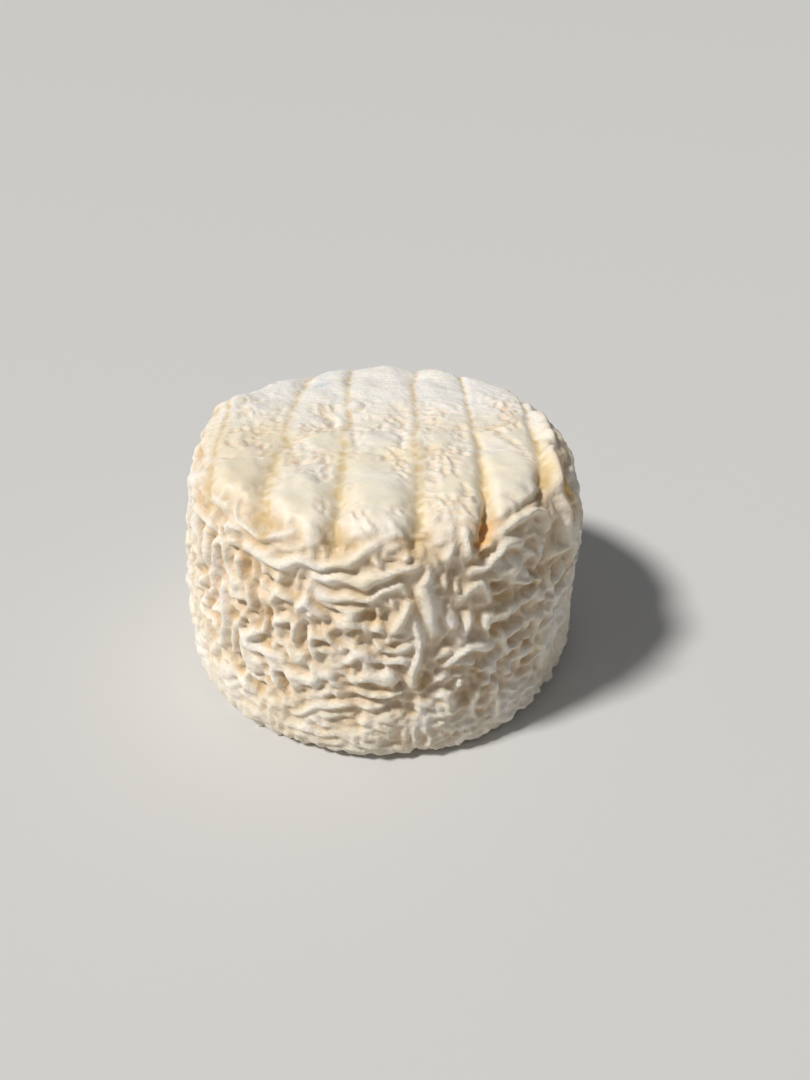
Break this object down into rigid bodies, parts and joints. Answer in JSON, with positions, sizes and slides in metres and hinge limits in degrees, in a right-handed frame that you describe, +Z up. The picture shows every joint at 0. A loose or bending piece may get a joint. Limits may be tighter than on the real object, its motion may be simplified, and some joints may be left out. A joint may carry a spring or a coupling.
{
  "type": "goat cheese",
  "caption": "Small soft-ripened goat cheese: an upright drum with a wrinkled white rind and the marks of drying wires across its top.",
  "frame": {"origin": "on the table, under the middle of the drum", "axes": "+Z up; the wire marks on the top run along Y; the side that the picture shows faces -Y"},
  "size_m": [0.0598, 0.0594, 0.0369],
  "materials": {
    "rind": "dry white bloom over waxy cream"
  },
  "bodies": {
    "root": {"goat_cheese": "rind"}
  },
  "joints": []
}
